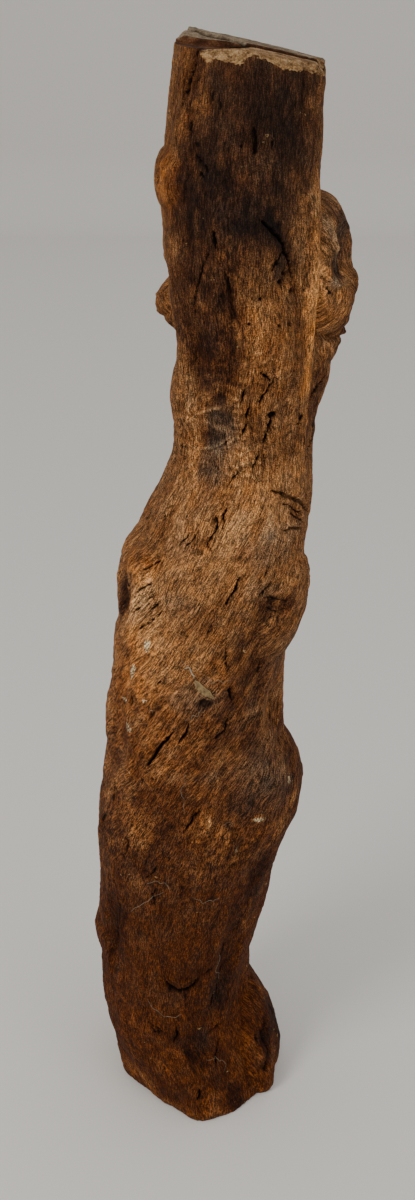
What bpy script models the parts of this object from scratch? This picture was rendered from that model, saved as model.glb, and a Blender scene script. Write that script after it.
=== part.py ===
"""A weathered tree trunk shown as a sculpture: one gnarled piece of wood on its own sawn, root-toed foot.

The trunk is a loft: closed sections that follow a leaning, swaying axis, with burls, toes, hollows and
flutes that wind with the grain worked into the radius. The top is sawn off aslant, its front half has split down to a
lower ledge, and one open check runs down from that ledge.

+Z is up, the front faces -Y, and the origin is the middle of the sawn foot.
"""

import math
from collections import namedtuple

import bmesh
import bpy
import numpy as np

# Driving size, in metres: the trunk's height from the floor to the highest corner of its sawn top.
TRUNK_HEIGHT = 1.365

# The carving below is written in millimetres of a trunk 1365 mm tall, and so in shares of its height.
MM = TRUNK_HEIGHT / 1365.0

# Mesh density of the loft.
COLUMNS = 72
ROWS = 64

# Sections of the trunk without its burls: height of the section, the place of its middle across (to the
# right) and back, its half width and half depth, and how square it is (2 is an ellipse, more is squarer).
Section = namedtuple("Section", "height across back half_width half_depth squareness")
SECTIONS = (
    Section(0, -12, 0, 96, 101, 1.6),
    Section(90, -29, 3, 101, 98, 1.9),
    Section(150, -36, 5, 103, 97, 2.0),
    Section(200, -35, 6, 103, 97, 2.0),
    Section(290, -25, 5, 112, 102, 2.0),
    Section(370, -17, 2, 115, 106, 2.0),
    Section(440, -12, 0, 118, 110, 2.0),
    Section(510, -8, -2, 116, 110, 2.0),
    Section(590, -6, -3, 107, 104, 2.1),
    Section(660, -4, 0, 105, 101, 2.2),
    Section(740, 8, 4, 105, 97, 2.2),
    Section(800, 20, 9, 102, 95, 2.2),
    Section(850, 30, 12, 97, 91, 2.2),
    Section(895, 42, 16, 87, 84, 2.3),
    Section(940, 49, 18, 78, 79, 2.4),
    Section(990, 46, 19, 80, 78, 2.4),
    Section(1050, 49, 20, 75, 77, 2.5),
    Section(1110, 44, 20, 80, 79, 2.5),
    Section(1160, 43, 19, 82, 79, 2.5),
    Section(1260, 45, 17, 81, 77, 2.6),
    Section(1365, 54, 16, 73, 72, 2.7),
)

# Swellings and hollows. The angle is in degrees round the trunk: 0 is to the right, -90 to the front.
# Reach is how far the swelling stands out (a hollow's is negative), spread is its half angle, up and
# down are how far it runs above and below its height, and a sharpness under 1 gives a round-edged knob.
Burl = namedtuple("Burl", "name angle height reach spread up down sharpness")
BURLS = (
    Burl("front toe", -60, 0, 26, 50, 140, 40, 1.6),
    Burl("right toe", 8, 30, 34, 46, 121, 90, 0.6),
    Burl("left toe", 182, 0, 8, 40, 110, 40, 1.2),
    Burl("back toe", 98, 0, 16, 50, 160, 40, 1.4),
    Burl("toe crease", -58, 110, -6, 14, 90, 90, 1.2),
    Burl("toe fold", -22, 142, -5, 11, 44, 30, 1.0),
    Burl("front groove", -50, 262, -8, 13, 100, 110, 1.1),
    Burl("low front boss", -88, 150, 5, 26, 60, 50, 1.2),
    Burl("left heel", 178, 242, 6, 26, 30, 36, 0.8),
    Burl("left groove", -150, 265, -9, 10, 80, 80, 1.0),
    Burl("low belly", 190, 130, 3, 40, 70, 80, 1.4),
    Burl("heel knot", 130, 330, 14, 34, 60, 70, 0.8),
    Burl("right belly", -10, 498, 21, 50, 72, 130, 0.8),
    Burl("belly lip", -38, 545, 6, 12, 26, 40, 0.8),
    Burl("eye knot", -87, 492, 5, 13, 26, 34, 1.1),
    Burl("left flank", 184, 430, 5, 36, 60, 80, 1.4),
    Burl("flank knot", 183, 602, 7, 22, 34, 46, 0.8),
    Burl("side pit", -27, 624, -9, 16, 44, 40, 1.1),
    Burl("front swelling", -95, 650, 9, 60, 90, 110, 1.5),
    Burl("back burl", 80, 720, 24, 46, 95, 120, 0.9),
    Burl("right knee", -20, 750, 15, 34, 58, 60, 0.65),
    Burl("knee dent", -46, 766, -6, 9, 20, 22, 1.0),
    Burl("left shoulder", 188, 788, 11, 34, 50, 60, 0.7),
    Burl("shoulder ball", -150, 812, 6, 13, 24, 22, 0.8),
    Burl("shoulder fold", -158, 765, -8, 10, 30, 36, 1.0),
    Burl("neck fold", -38, 880, -5, 22, 12, 20, 1.0),
    Burl("neck hollow", -60, 940, -4, 60, 90, 80, 1.5),
    Burl("left strand", -146, 1030, 7, 14, 90, 110, 1.1),
    Burl("back knot", 115, 1010, 15, 30, 55, 60, 0.8),
    Burl("lobe root", 12, 1045, 20, 34, 40, 95, 1.2),
    Burl("branch lobe", 14, 1116, 45, 40, 93, 64, 0.55),
    Burl("lobe scar", -2, 1145, -16, 12, 36, 40, 1.0),
    Burl("side rib", -31, 1130, 7, 10, 110, 100, 0.9),
    Burl("left ball", 170, 1100, 14, 22, 24, 24, 0.5),
    Burl("long dent", -99, 1112, -6, 8, 36, 36, 1.0),
    Burl("brow", -80, 1162, 9, 24, 34, 50, 1.0),
    Burl("brow dent", -56, 1140, -5, 9, 40, 34, 1.0),
    Burl("left ear", 192, 1230, 9, 32, 26, 36, 0.6),
    Burl("ear pit", -126, 1244, -5, 10, 20, 22, 1.0),
    Burl("top dent", -82, 1266, -5, 9, 22, 26, 1.0),
)

# The grain winds round the trunk: by this angle in all, in degrees, up to where it runs straight up.
GRAIN_TWIST = 135.0
GRAIN_STRAIGHT_ABOVE = 900.0

# Flutes that follow the grain: how many round the trunk, how deep as a share of the radius, where the
# first one starts, in degrees, and how many times over the height they deepen and fade.
Flute = namedtuple("Flute", "count depth start swells")
FLUTES = (
    Flute(3, 0.020, 40, 0.7),
    Flute(5, 0.017, 100, 1.3),
    Flute(9, 0.013, 10, 2.2),
    Flute(13, 0.009, 60, 3.1),
)

# The saw cut across the top falls to the right and a little to the front.
TOP_FALL_TO_RIGHT = 0.20
TOP_FALL_TO_FRONT = 0.04
SPARE_ABOVE_CUT = 40 * MM

# The front half has split away down to a ledge, deeper at its left end. The split runs across the top
# between these two points, given across and back from the origin.
SPLIT_LEFT = (-60 * MM, 22 * MM)
SPLIT_RIGHT = (140 * MM, -18 * MM)
LEDGE_DROP_LEFT = 9 * MM
LEDGE_DROP_RIGHT = 3 * MM

# The open check in the front face, from the ledge down to its tip.
CHECK_TOP_ACROSS = 0 * MM
CHECK_TIP_ACROSS = -18 * MM
CHECK_LENGTH = 62 * MM
CHECK_WIDTH = 6 * MM
CHECK_TIP_WIDTH = 2 * MM
CHECK_DEPTH = 26 * MM

# How far the cutters reach past the wood they cut.
CUTTER_REACH = 200 * MM

WOOD_COLOUR = (0.235, 0.105, 0.042, 1.0)
WOOD_ROUGHNESS = 0.78


def clear_scene():
    """Removes whatever the file starts with."""
    for old in list(bpy.data.objects):
        bpy.data.objects.remove(old)


def new_collection(name):
    """A collection linked to the scene."""
    made = bpy.data.collections.new(name)
    bpy.context.scene.collection.children.link(made)
    return made


def new_object(name, mesh, collection):
    """An object for the mesh, in the collection."""
    made = bpy.data.objects.new(name, mesh)
    collection.objects.link(made)
    return made


def wood_material():
    """Dry brown wood."""
    material = bpy.data.materials.new("weathered_wood")
    material.use_nodes = True
    shader = material.node_tree.nodes["Principled BSDF"]
    shader.inputs["Base Color"].default_value = WOOD_COLOUR
    shader.inputs["Roughness"].default_value = WOOD_ROUGHNESS
    shader.inputs["Metallic"].default_value = 0.0
    return material


def smooth_between(values, heights):
    """The sections' values at these heights (in millimetres), on a smooth curve through all of them."""
    knots = np.array([section.height for section in SECTIONS], float)
    slopes = np.gradient(values, knots)
    low = np.clip(np.searchsorted(knots, heights, side="right") - 1, 0, len(knots) - 2)
    span = knots[low + 1] - knots[low]
    t = np.clip((heights - knots[low]) / span, 0.0, 1.0)
    start = (2 * t**3 - 3 * t**2 + 1) * values[low] + (t**3 - 2 * t**2 + t) * span * slopes[low]
    end = (3 * t**2 - 2 * t**3) * values[low + 1] + (t**3 - t**2) * span * slopes[low + 1]
    return start + end


def section_value(field, heights):
    """One field of the sections at these heights."""
    return smooth_between(np.array([getattr(section, field) for section in SECTIONS], float), heights)


def grain_twist(heights):
    """How far the grain has wound round the trunk at these heights, in radians."""
    rise = np.clip(heights / GRAIN_STRAIGHT_ABOVE, 0.0, 1.0)
    return math.radians(GRAIN_TWIST) * np.sin(rise * math.pi / 2)


def burl_height(burl, angles, heights):
    """How far one burl stands out at each angle (degrees) and height (millimetres)."""
    turned = (angles - burl.angle + 180.0) % 360.0 - 180.0
    rise = heights - burl.height
    along = rise / np.where(rise > 0, burl.up, burl.down)
    inside = np.clip(1.0 - (turned / burl.spread) ** 2 - along**2, 0.0, 1.0)
    return burl.reach * inside**burl.sharpness


def trunk_points(angles, heights):
    """Points of the trunk's side, in metres, for arrays of angles (degrees) and heights (millimetres)."""
    round_it = np.radians(angles)
    squareness = section_value("squareness", heights)
    wide = (np.abs(np.cos(round_it)) / section_value("half_width", heights)) ** squareness
    deep = (np.abs(np.sin(round_it)) / section_value("half_depth", heights)) ** squareness
    radius = (wide + deep) ** (-1.0 / squareness)
    along_grain = round_it - grain_twist(heights)
    for flute in FLUTES:
        phase = flute.count * along_grain + math.radians(flute.start)
        fade = 0.6 + 0.4 * np.cos(2 * math.pi * flute.swells * heights / SECTIONS[-1].height)
        radius = radius * (1.0 + flute.depth * fade * np.cos(phase))
    for burl in BURLS:
        radius = radius + burl_height(burl, angles, heights)
    x = section_value("across", heights) + radius * np.cos(round_it)
    y = section_value("back", heights) + radius * np.sin(round_it)
    return np.stack([x * MM, y * MM, heights * MM], axis=-1)


def lofted_trunk():
    """The closed loft, left standing a little above the saw cut."""
    top = (TRUNK_HEIGHT + SPARE_ABOVE_CUT) / MM
    angles, heights = np.meshgrid(
        np.arange(COLUMNS) * 360.0 / COLUMNS,
        np.linspace(0.0, top, ROWS + 1),
    )
    points = trunk_points(angles, heights).reshape(-1, 3)
    faces = []
    for row in range(ROWS):
        for column in range(COLUMNS):
            beside = (column + 1) % COLUMNS
            low, high = row * COLUMNS, (row + 1) * COLUMNS
            faces.append((low + column, low + beside, high + beside, high + column))
    faces.append(tuple(reversed(range(COLUMNS))))
    faces.append(tuple(range(ROWS * COLUMNS, (ROWS + 1) * COLUMNS)))
    mesh = bpy.data.meshes.new("trunk")
    mesh.from_pydata(points.tolist(), [], faces)
    return mesh


def highest_corner():
    """Where the sawn top is highest, across and back from the origin."""
    angles = np.arange(0.0, 360.0, 1.0)
    rim = trunk_points(angles, np.full(angles.shape, TRUNK_HEIGHT / MM))
    rise = TOP_FALL_TO_FRONT * rim[:, 1] - TOP_FALL_TO_RIGHT * rim[:, 0]
    highest = int(np.argmax(rise))
    return float(rim[highest, 0]), float(rim[highest, 1])


def top_at(across, back):
    """Height of the saw cut above a point of the plan."""
    corner_across, corner_back = highest_corner()
    fall = TOP_FALL_TO_RIGHT * (across - corner_across) + TOP_FALL_TO_FRONT * (corner_back - back)
    return TRUNK_HEIGHT - fall


def saw_off_top(mesh):
    """Cuts the loft along the slanting plane of the saw and closes it."""
    shape = bmesh.new()
    shape.from_mesh(mesh)
    cut = bmesh.ops.bisect_plane(
        shape,
        geom=shape.verts[:] + shape.edges[:] + shape.faces[:],
        dist=1e-6,
        plane_co=(0.0, 0.0, top_at(0.0, 0.0)),
        plane_no=(TOP_FALL_TO_RIGHT, -TOP_FALL_TO_FRONT, 1.0),
        clear_outer=True,
    )
    rim = [item for item in cut["geom_cut"] if isinstance(item, bmesh.types.BMEdge)]
    bmesh.ops.holes_fill(shape, edges=rim)
    bmesh.ops.recalc_face_normals(shape, faces=shape.faces[:])
    shape.to_mesh(mesh)
    shape.free()


def prism(name, corners_low, corners_high, collection):
    """A hidden cutter: a prism between two outlines with the same number of corners."""
    count = len(corners_low)
    sides = [(i, (i + 1) % count, count + (i + 1) % count, count + i) for i in range(count)]
    mesh = bpy.data.meshes.new(name)
    mesh.from_pydata(
        list(corners_low) + list(corners_high),
        [],
        sides + [tuple(reversed(range(count))), tuple(range(count, 2 * count))],
    )
    shape = bmesh.new()
    shape.from_mesh(mesh)
    bmesh.ops.recalc_face_normals(shape, faces=shape.faces[:])
    shape.to_mesh(mesh)
    shape.free()
    cutter = new_object(name, mesh, collection)
    cutter.hide_render = True
    cutter.display_type = "WIRE"
    return cutter


def ledge_cutter(collection):
    """Takes the front half of the top down to the ledge: everything in front of the split and above it."""
    plan = (
        (SPLIT_LEFT[0], SPLIT_LEFT[1], LEDGE_DROP_LEFT),
        (SPLIT_RIGHT[0], SPLIT_RIGHT[1], LEDGE_DROP_RIGHT),
        (SPLIT_RIGHT[0], SPLIT_RIGHT[1] - CUTTER_REACH, LEDGE_DROP_RIGHT),
        (SPLIT_LEFT[0], SPLIT_LEFT[1] - CUTTER_REACH, LEDGE_DROP_LEFT),
    )
    low = [(across, back, top_at(across, back) - drop) for across, back, drop in plan]
    high = [(across, back, height + CUTTER_REACH) for across, back, height in low]
    return prism("ledge_cutter", low, high, collection)


def check_cutter(collection):
    """A wedge for the open check: wide at the ledge, narrow at its tip, and as deep as the check."""
    half_top, half_tip = CHECK_WIDTH / 2, CHECK_TIP_WIDTH / 2
    ledge = top_at(CHECK_TOP_ACROSS, 0.0)
    tip = ledge - CHECK_LENGTH
    front = front_face_at(CHECK_TOP_ACROSS, (ledge + tip) / 2)
    lean = (CHECK_TOP_ACROSS - CHECK_TIP_ACROSS) / CHECK_LENGTH
    above = ledge + CUTTER_REACH / 4
    above_across = CHECK_TOP_ACROSS + lean * (above - ledge)
    outline = (
        (above_across - half_top, above),
        (above_across + half_top, above),
        (CHECK_TIP_ACROSS + half_tip, tip),
        (CHECK_TIP_ACROSS - half_tip, tip),
    )
    before = [(across, front - CUTTER_REACH, height) for across, height in outline]
    behind = [(across, front + CHECK_DEPTH, height) for across, height in outline]
    return prism("check_cutter", before, behind, collection)


def front_face_at(across, height):
    """Where the front face stands, back from the origin, at a place across the front and a height."""
    angles = np.linspace(-170.0, -10.0, 161)
    points = trunk_points(angles, np.full(angles.shape, height / MM))
    nearest = int(np.argmin(np.abs(points[:, 0] - across)))
    return float(points[nearest, 1])


def cut_away(target, cutter):
    """Subtracts the cutter."""
    modifier = target.modifiers.new(cutter.name, "BOOLEAN")
    modifier.operation = "DIFFERENCE"
    modifier.solver = "EXACT"
    modifier.object = cutter


def build():
    """Makes the trunk."""
    clear_scene()
    sculpture = new_collection("tree_stump_sculpture")
    cutters = new_collection("cutters")
    mesh = lofted_trunk()
    saw_off_top(mesh)
    mesh.shade_smooth()
    mesh.set_sharp_from_angle(angle=math.radians(50))
    trunk = new_object("trunk", mesh, sculpture)
    trunk.data.materials.append(wood_material())
    cut_away(trunk, ledge_cutter(cutters))
    cut_away(trunk, check_cutter(cutters))


build()
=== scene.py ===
# A weathered tree trunk, shown as a sculpture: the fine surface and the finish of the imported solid.
import math
from functools import partial
import bpy
import numpy as np
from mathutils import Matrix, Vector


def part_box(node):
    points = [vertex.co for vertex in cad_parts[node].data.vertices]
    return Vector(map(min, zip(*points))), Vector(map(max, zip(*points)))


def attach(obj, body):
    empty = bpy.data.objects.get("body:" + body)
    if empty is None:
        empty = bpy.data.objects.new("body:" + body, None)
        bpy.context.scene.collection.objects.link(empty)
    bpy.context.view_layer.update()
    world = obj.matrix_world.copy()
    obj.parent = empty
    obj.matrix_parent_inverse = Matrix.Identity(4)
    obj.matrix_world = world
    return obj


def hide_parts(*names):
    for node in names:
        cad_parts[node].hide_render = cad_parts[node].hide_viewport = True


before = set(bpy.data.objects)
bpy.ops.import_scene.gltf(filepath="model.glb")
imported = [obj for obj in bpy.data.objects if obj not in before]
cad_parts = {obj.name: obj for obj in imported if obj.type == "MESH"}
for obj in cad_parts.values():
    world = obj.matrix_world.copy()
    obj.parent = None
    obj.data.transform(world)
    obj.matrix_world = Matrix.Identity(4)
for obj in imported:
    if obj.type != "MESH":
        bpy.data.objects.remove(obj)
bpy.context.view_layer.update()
trunkLow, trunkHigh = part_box("trunk")
mm = (trunkHigh.z - trunkLow.z) / 1365.0  # a millimetre of a trunk 1365 mm tall


# Camera

cameraSetup = {
    "place": (0.008, -1.355, 1.39),  # a standing person's eye, looking down on the foot
    "downwards": 25.6,  # degrees
    "lens": 37.5,  # mm, on a sensor 36 mm along the picture's long side
}


def placeCamera(setup):
    lens = bpy.data.cameras.new("photoCamera")
    lens.lens = setup["lens"]
    lens.sensor_width = 36.0
    camera = bpy.data.objects.new("photoCamera", lens)
    camera.location = setup["place"]
    camera.rotation_euler = (math.radians(90.0 - setup["downwards"]), 0.0, 0.0)
    bpy.context.scene.collection.objects.link(camera)
    bpy.context.scene.camera = camera


placeCamera(cameraSetup)
print("camera placed")


# The trunk's form

# Rows of numbers from a table that parts them by commas; a word in a row is its name.
def readRows(table):
    return [[float(part) for part in row.split() if not part.isalpha()] for row in table.split(",")]


trunkForm = {
    # height, middle across, middle back, half width, half depth, squareness of the outline, in mm
    "sections": np.array(readRows("""
0 -12 0 96 101 1.6, 90 -29 3 101 98 1.9, 150 -36 5 103 97 2, 200 -35 6 103 97 2, 290 -25 5 112 102 2,
370 -17 2 115 106 2, 440 -12 0 118 110 2, 510 -8 -2 116 110 2, 590 -6 -3 107 104 2.1, 660 -4 0 105 101 2.2,
740 8 4 105 97 2.2, 800 20 9 102 95 2.2, 850 30 12 97 91 2.2, 895 42 16 87 84 2.3, 940 49 18 78 79 2.4,
990 46 19 80 78 2.4, 1050 49 20 75 77 2.5, 1110 44 20 80 79 2.5, 1160 43 19 82 79 2.5, 1260 45 17 81 77 2.6,
1365 54 16 73 72 2.7
    """)),
    # angle in degrees (0 is right, -90 the front), height, reach, half angle, rise above and below, sharpness
    "burls": readRows("""
frontToe -60 0 26 50 140 40 1.6, rightToe 8 30 34 46 121 90 .6, leftToe 182 0 8 40 110 40 1.2,
backToe 98 0 16 50 160 40 1.4, toeCrease -58 110 -6 14 90 90 1.2, toeFold -22 142 -5 11 44 30 1,
frontGroove -50 262 -8 13 100 110 1.1, lowFrontBoss -88 150 5 26 60 50 1.2, leftHeel 178 242 6 26 30 36 .8,
leftGroove -150 265 -9 10 80 80 1, lowBelly 190 130 3 40 70 80 1.4, heelKnot 130 330 14 34 60 70 .8,
rightBelly -10 498 21 50 72 130 .8, bellyLip -38 545 6 12 26 40 .8, eyeKnot -87 492 5 13 26 34 1.1,
leftFlank 184 430 5 36 60 80 1.4, flankKnot 183 602 7 22 34 46 .8, sidePit -27 624 -9 16 44 40 1.1,
frontSwelling -95 650 9 60 90 110 1.5, backBurl 80 720 24 46 95 120 .9, rightKnee -20 750 15 34 58 60 .65,
kneeDent -46 766 -6 9 20 22 1, leftShoulder 188 788 11 34 50 60 .7, shoulderBall -150 812 6 13 24 22 .8,
shoulderFold -158 765 -8 10 30 36 1, neckFold -38 880 -5 22 12 20 1, neckHollow -60 940 -4 60 90 80 1.5,
leftStrand -146 1030 7 14 90 110 1.1, backKnot 115 1010 15 30 55 60 .8, lobeRoot 12 1045 20 34 40 95 1.2,
branchLobe 14 1116 45 40 93 64 .55, lobeScar -2 1145 -16 12 36 40 1, sideRib -31 1130 7 10 110 100 .9,
leftBall 170 1100 14 22 24 24 .5, longDent -99 1112 -6 8 36 36 1, brow -80 1162 9 24 34 50 1,
browDent -56 1140 -5 9 40 34 1, leftEar 192 1230 9 32 26 36 .6, earPit -126 1244 -5 10 20 22 1,
topDent -82 1266 -5 9 22 26 1
    """),
    # how many round the trunk, depth as a share of the radius, start in degrees, swells over the height
    "flutes": ((3, 0.020, 40, 0.7), (5, 0.017, 100, 1.3), (9, 0.013, 10, 2.2), (13, 0.009, 60, 3.1)),
    "grainTwist": 135.0,  # degrees in all, up to where the grain runs straight
    "grainStraightAbove": 900.0,
    "fibreTwist": 122.0,  # degrees in all, over the rise above the start
    "fibresStart": 280.0,
    "fibresRise": 720.0,
    "topFallToRight": 0.20,
    "topFallToFront": 0.04,
    "tallest": 1365.0,
}


# A smooth curve through values at knots: cubic between two of them, with the slopes of their neighbours.
def smoothThrough(knots, values, at):
    slopes = np.gradient(values, knots)
    low = np.clip(np.searchsorted(knots, at, side="right") - 1, 0, len(knots) - 2)
    span = knots[low + 1] - knots[low]
    t = np.clip((at - knots[low]) / span, 0.0, 1.0)
    start = (2 * t**3 - 3 * t**2 + 1) * values[low] + (t**3 - 2 * t**2 + t) * span * slopes[low]
    end = (3 * t**2 - 2 * t**3) * values[low + 1] + (t**3 - t**2) * span * slopes[low + 1]
    return start + end


def sectionValue(column, heights):
    return smoothThrough(trunkForm["sections"][:, 0], trunkForm["sections"][:, column], heights)


# The grain's winding in radians: a quarter sine of the height, level above the straight height.
def grainTwist(heights):
    rise = np.clip(heights / trunkForm["grainStraightAbove"], 0.0, 1.0)
    return math.radians(trunkForm["grainTwist"]) * np.sin(rise * math.pi / 2)


# The winding of the fibres in radians: level at both ends and steepest in the middle, at 40 % of the height.
def fibreTwist(heights):
    rise = np.clip((heights - trunkForm["fibresStart"]) / trunkForm["fibresRise"], 0.0, 1.0)
    return math.radians(trunkForm["fibreTwist"]) * (rise - np.sin(math.tau * rise) / math.tau)


# Degrees from one angle to another, the short way round.
def turnFrom(angle, angles):
    return (angles - angle + 180.0) % 360.0 - 180.0


# The solid's own radius in mm: a superellipse, waved by the flutes, with each burl a raised half ellipsoid.
def solidRadius(angles, heights):
    around = np.radians(angles)
    squareness = sectionValue(5, heights)
    wide = (np.abs(np.cos(around)) / sectionValue(3, heights)) ** squareness
    deep = (np.abs(np.sin(around)) / sectionValue(4, heights)) ** squareness
    radius = (wide + deep) ** (-1.0 / squareness)
    alongGrain = around - grainTwist(heights)
    for count, depth, start, swells in trunkForm["flutes"]:
        fade = 0.6 + 0.4 * np.cos(math.tau * swells * heights / trunkForm["tallest"])
        radius = radius * (1.0 + depth * fade * np.cos(count * alongGrain + math.radians(start)))
    for angle, height, reach, spread, up, down, sharpness in trunkForm["burls"]:
        rise = heights - height
        along = rise / np.where(rise > 0, up, down)
        inside = np.clip(1.0 - (turnFrom(angle, angles) / spread) ** 2 - along**2, 0.0, 1.0)
        radius = radius + reach * inside**sharpness
    return radius


# The place across and back in mm of a radius about the trunk's middle.
def placeOn(angles, heights, radius):
    across = sectionValue(1, heights) + radius * np.cos(np.radians(angles))
    back = sectionValue(2, heights) + radius * np.sin(np.radians(angles))
    return across, back


# Eased from 0 to 1, level at both ends.
def smoothStep(x):
    x = np.clip(x, 0.0, 1.0)
    return x * x * (3.0 - 2.0 * x)


# A lattice of values blended smoothly at a, b, counted in cells; a closes on itself.
def blendLattice(lattice, a, b):
    i, j = np.floor(a).astype(int), np.floor(b).astype(int)
    u, v = smoothStep(a - i), smoothStep(b - j)
    i0, i1 = i % len(lattice), (i + 1) % len(lattice)
    near = lattice[i0, j] * (1 - u) + lattice[i1, j] * u
    far = lattice[i0, j + 1] * (1 - u) + lattice[i1, j + 1] * u
    return near * (1 - v) + far * v


# Random values on a lattice of around by along cells, wrapped round the trunk. With lean it winds with the grain.
def latticeNoise(angles, heights, around, along, seed, lean=True):
    lattice = np.random.default_rng(seed).uniform(-1.0, 1.0, (around, along + 3))
    turned = np.radians(angles) - (fibreTwist(heights) if lean else 0.0)
    a = (turned / math.tau) % 1.0 * around
    return blendLattice(lattice, a, np.clip(heights / 1400.0, 0.0, 1.0) * along)


# The grain's swaying to the sides, in degrees.
def grainSway(angles, heights):
    level = partial(latticeNoise, angles, heights, lean=False)
    return 5.0 * level(9, 14, 9) + 1.6 * level(26, 40, 10)


# Strokes on the unrolled surface: each a path of angle and height, its width and its depth in mm.
def strokes(width, depth, paths):
    return [{"path": np.reshape(path, (-1, 2)), "width": width, "depth": depth} for path in paths]


# Strokes from a table: width, depth and a colon, then the angles and heights of each path, up to a semicolon.
def readLines(table):
    groups = [group.split(":") for group in table.split(";")]
    return sum([strokes(*readRows(size)[0], readRows(paths)) for size, paths in groups], [])


# Open checks, slots and worn grooves.
trunkChecks = readLines("""
5.4 10: -131 1366 -133 1350 -135 1332 -138 1312 -142 1294; 4.2 6: -133 1283 -132 1270; 1.8 2: -150 1340 -152 1300,
-161 1345 -163 1285, -158 1254 -167 1216, -149 1250 -160 1208, -170 1250 -174 1220, -130 1324 -131 1316;
3.6 4: -128 1253 -122 1246, -119 1243 -116 1237, -124 1237 -119 1231; 5 4: -83 1278 -81 1266 -81 1254;
5.2 7: -79 1193 -72 1186 -67 1179 -60 1167 -54 1149 -49 1130; 4.4 6: -59 1158 -66 1149 -69 1142,
-111 1181 -109 1165; 2.2 3.5: -114 1158 -121 1136 -126 1112 -130 1092; 7 4: -102 1138 -98 1113 -98 1092;
4.4 6: 6 1080 7 1066 6 1052 4 1040; 4 6: -77 1034 -70 1025; 5.6 9: -8 1014 -17 1000 -29 986; 4 7: -36 985 -41 971;
2.8 6: -67 1028 -73 1012 -77 1000; 3.4 6: -90 1016 -91 1004, -84 1000 -88 984, -87 980 -92 967, -79 942 -83 930;
3.6 7: -63 990 -70 970 -73 955; 4 6: -10 948 -24 937; 2.2 4: -94 932 -94 924 -98 916 -102 908;
3 6: -97 888 -97 874 -96 864, -103 878 -100 862 -103 852 -103 844 -99 840; 2.6 4: -118 858 -122 841,
-112 860 -117 842, -144 869 -140 858, -135 818 -145 802; 6 4.6: -64 902 -57 898 -49 891 -38 884 -30 876 -14 862;
2.4 2.4: -52 884 -42 878 -34 868, -44 872 -34 862 -24 852; 4.4 3.6: -48 854 -44 855 -38 853 -29 849;
4.4 6: -166 792 -156 772 -152 750 -154 732; 2.8 4.5: -139 789 -146 777, -132 781 -140 767, -127 773 -135 757,
-140 763 -147 749, -129 753 -137 739, -123 766 -127 756, -136 741 -141 730; 3.8 7: -76 809 -77 794 -82 776;
3.4 4: -51 797 -59 781; 7 3: -50 774 -46 768 -41 760; 2.2 2.6: -54 778 -46 774 -38 770, -52 766 -44 758;
2.4 3: -76 725 -74 698; 3.4 5: -48 697 -50 684, -70 677 -69 660;
5.2 9: -104 622 -110 606 -114 596 -117 582 -123 564; 3.4 6: -95 635 -96 622 -101 608, -69 639 -72 622 -78 612;
9 4: -27 645 -20 621 -26 604; 7 8: -150 522 -150 507 -149 492; 5 6: -158 460 -160 448 -159 436;
3.4 7: -86 514 -90 506 -92 496 -96 482; 3 3: -136 455 -134 440 -137 424, -112 426 -115 411 -120 399;
3 4: -114 382 -115 370 -114 358, -148 379 -148 368; 9 2.4: -142 334 -146 282 -157 212;
9 1.4: -46 330 -49 292 -50 262, -52 240 -51 206 -55 176; 3.4 5: -56 278 -58 262, -51 236 -53 222, -54 206 -53 192,
-58 190 -60 172; 7.4 9: -98 230 -96 224 -92 218 -87 214 -82 215 -77 221 -73 230; 2.4 3: -96 222 -92 208,
-70 236 -62 246; 2.6 4: -112 153 -107 152 -102 147 -97 142, -108 152 -106 140 -100 144;
3.6 6: -88 154 -88 142 -92 129; 4 3: -46 138 -54 130 -64 128; 6 7: -159 116 -147 99; 4 5: -19 92 -21 72 -23 54,
-15 100 -16 80, -16 70 -20 46, -24 92 -26 76, -27 52 -31 38; 3.6 5: -55 111 -61 96 -64 82; 5.6 6: -80 54 -82 38;
2.2 2.4: -24 1127 -24 1115 -23 1104
""")

# Pits and holes: angle, height, half width, half height and depth in mm.
trunkPits = readRows("""
-59 1128 3.5 3.5 5, -50 1118 3 3 5, -63 1147 4 3 5, -56 1136 3 3 4, -76 1112 2.2 2.2 5, -86 1086 2.4 2.2 5,
-62 1083 2.2 2.2 5, -54 1083 2 2 5, -65 987 6 4 7, -136 682 2.4 5 6, -85 659 10 7 4, -118 550 3 3 4, -135 446 3 5 5,
-138 420 3 4 3, -80 94 9 24 2.4, -103 872 4 4 4, -126 1262 3 3 3, -102 852 3 3 4, -68 488 3 3 3, -134 648 3 6 4,
-118 640 3 3 3, -93 1262 2 2 3
""")


# Raised ridges: wrinkles on the neck, the lobe's lip, the rim of the lens knot and splinters on the belly.
trunkRidges = readLines("""
6.4 -3.8: -136 974 -129 986 -120 990 -114 996 -106 996, -138 946 -128 946 -116 951 -108 958 -102 966;
6 -3.4: -104 956 -100 963 -94 964 -86 961, -106 940 -97 938 -90 934 -84 936 -74 933, -101 949 -94 945 -87 949,
-94 928 -90 922 -84 921 -76 915; 5.6 -2.6: -114 1040 -108 1045 -103 1041, -88 1059 -81 1054 -75 1057,
-79 1042 -72 1050 -65 1046, -100 1014 -94 1011 -91 1018, -144 918 -131 930 -121 934 -113 927,
-90 1074 -82 1070 -74 1073, -66 1030 -58 1027 -50 1031, -96 1030 -90 1026 -84 1030;
6 -2.8: -132 1044 -132 1017 -134 994 -138 968, -126 1010 -120 1003 -113 1008; 3.4 -2.6: -159 842 -148 839 -138 842,
-155 853 -146 856, -135 834 -138 824 -142 816; 3.6 -2.6: -46 880 -38 874 -28 862, -50 862 -40 858 -30 860,
-44 842 -36 838; 4 -3.6: -25 1134 -23 1125 -18 1118 -10 1116 -3 1119 2 1128;
5 -3.8: -87 516 -82 508 -79 497 -82 487 -88 480; 5 -2.8: -96 468 -86 466 -76 474; 3.2 -3: -60 478 -64 460 -70 446,
-55 448 -60 426 -65 408, -51 464 -54 442, -60 444 -67 420, -47 480 -50 458 -54 448, -49 436 -54 412;
6 -3: -98 240 -92 231 -85 228 -78 234
""")


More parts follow.
